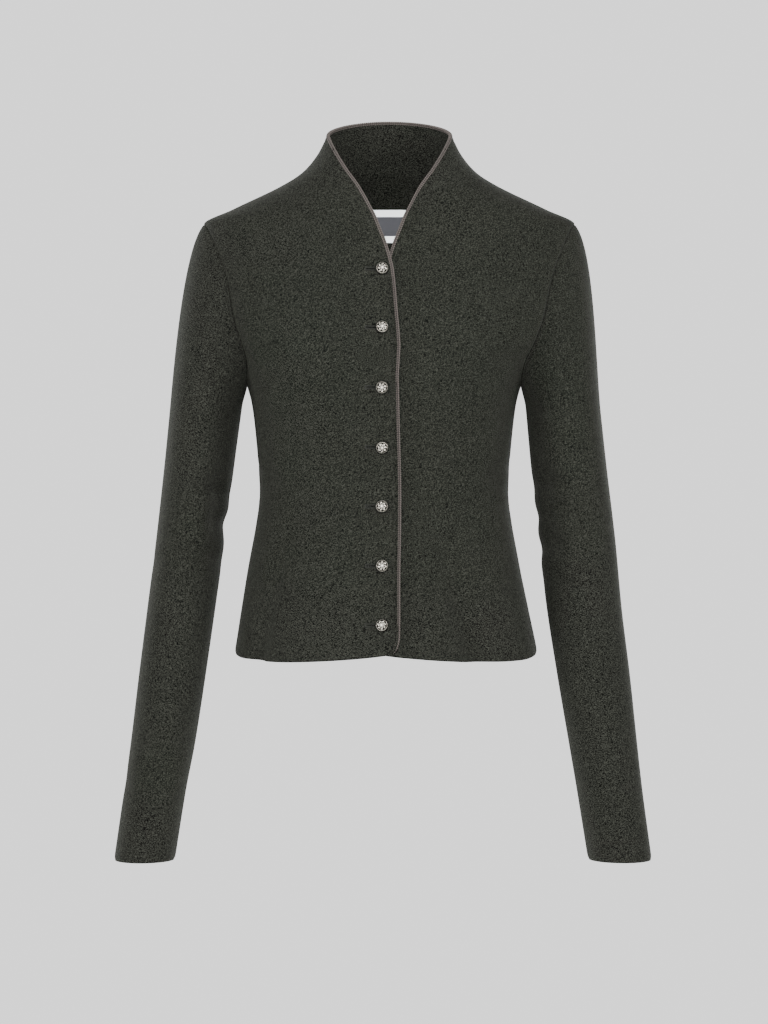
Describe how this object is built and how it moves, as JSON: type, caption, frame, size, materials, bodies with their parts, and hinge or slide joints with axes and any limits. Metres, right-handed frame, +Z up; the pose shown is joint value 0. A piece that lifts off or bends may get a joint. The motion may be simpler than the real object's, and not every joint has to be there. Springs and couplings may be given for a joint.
{
  "type": "knit cardigan",
  "caption": "Women's buttoned cardigan of boiled wool knit, filled out as worn, with a grown-on stand collar, V neck, long set-in sleeves and a braided edge.",
  "frame": {"origin": "middle of the neck base, level with the side of the neck, where the wearer's neck and shoulders hold the garment", "axes": "+Z up, -Y to the wearer's front, +X to the wearer's left"},
  "size_m": [0.548, 0.2358, 0.7632],
  "materials": {
    "wool_knit": "dark green-grey boiled wool knit, matt and fuzzy",
    "braid": "grey-taupe braided edge binding",
    "satin_label": "white woven satin label with a plain grey band",
    "pewter": "antiqued pewter with a turned relief"
  },
  "bodies": {
    "root": {"front_right": "wool_knit", "front_left": "wool_knit", "back": "wool_knit", "sleeve_right": "wool_knit", "sleeve_left": "wool_knit", "edge_binding": "braid", "neck_label": "satin_label", "button_1": "pewter", "button_2": "pewter", "button_3": "pewter", "button_4": "pewter", "button_5": "pewter", "button_6": "pewter", "button_7": "pewter"}
  },
  "joints": []
}
